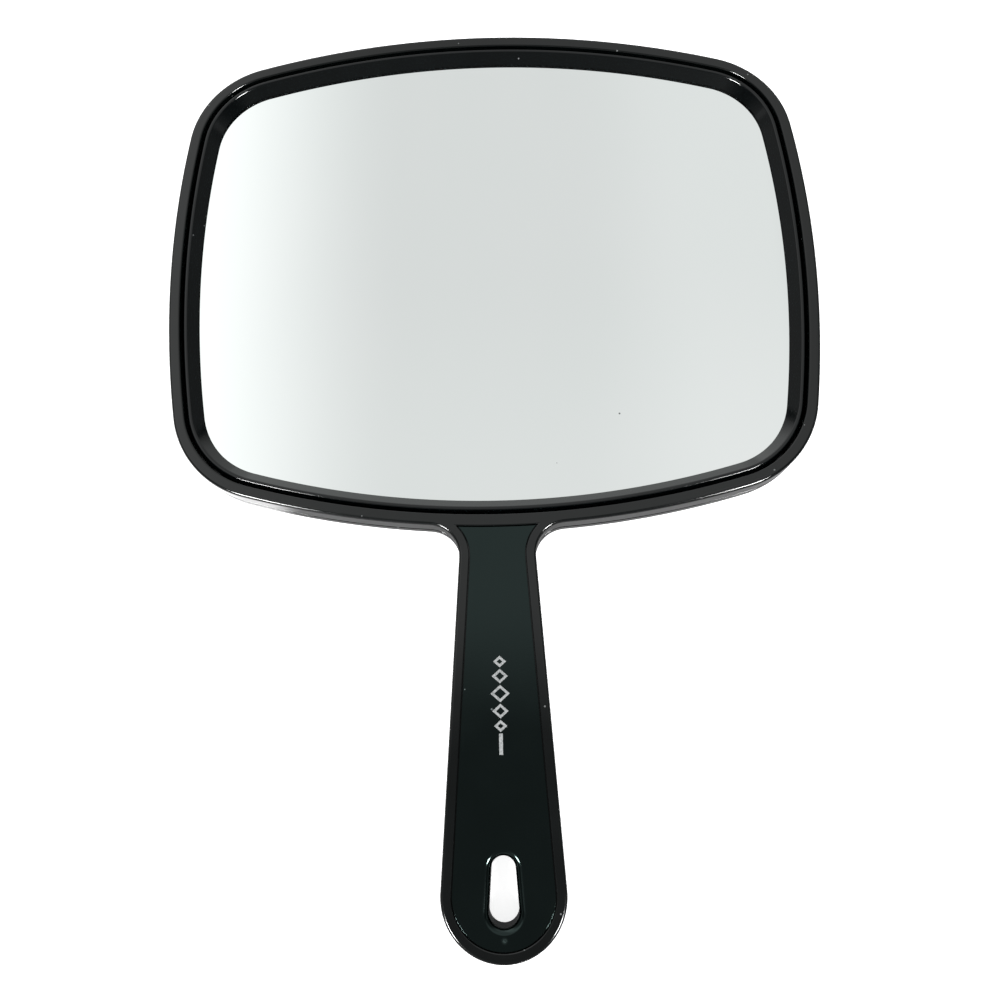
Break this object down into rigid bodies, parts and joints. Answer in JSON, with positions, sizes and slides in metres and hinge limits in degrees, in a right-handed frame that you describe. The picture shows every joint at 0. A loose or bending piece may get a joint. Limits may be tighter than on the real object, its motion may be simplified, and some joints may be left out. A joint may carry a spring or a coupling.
{
  "type": "hand mirror",
  "caption": "Hand mirror with a wide round-cornered glass behind a bevelled ring, in a gloss black casing with a flat tapering handle and a hanging slot.",
  "frame": {"origin": "bottom centre of the bounding box, on the flat back that the mirror rests on", "axes": "+Z out of the mirror's face, +Y from the handle to the top of the head, +X to the right as seen from the front"},
  "size_m": [0.1932, 0.273, 0.012],
  "materials": {
    "casing_plastic": "gloss black moulded plastic with fine scratches",
    "bezel_plastic": "gloss black moulded plastic",
    "insert_plastic": "satin gloss black moulded plastic",
    "mirror_glass": "clear float glass with a ground edge",
    "silver_coating": "silvered, with a painted back",
    "grey_board": "plain grey board",
    "white_foam": "white closed-cell foam tape"
  },
  "bodies": {
    "root": {"back_shell": "casing_plastic", "front_frame": "casing_plastic", "bezel_ring": "bezel_plastic", "handle_insert": "insert_plastic", "mirror_glass": "mirror_glass", "mirror_coating": "silver_coating", "backing_board": "grey_board", "foam_pad_upper_left": "white_foam", "foam_pad_upper_right": "white_foam", "foam_pad_lower_left": "white_foam", "foam_pad_lower_right": "white_foam"}
  },
  "joints": []
}
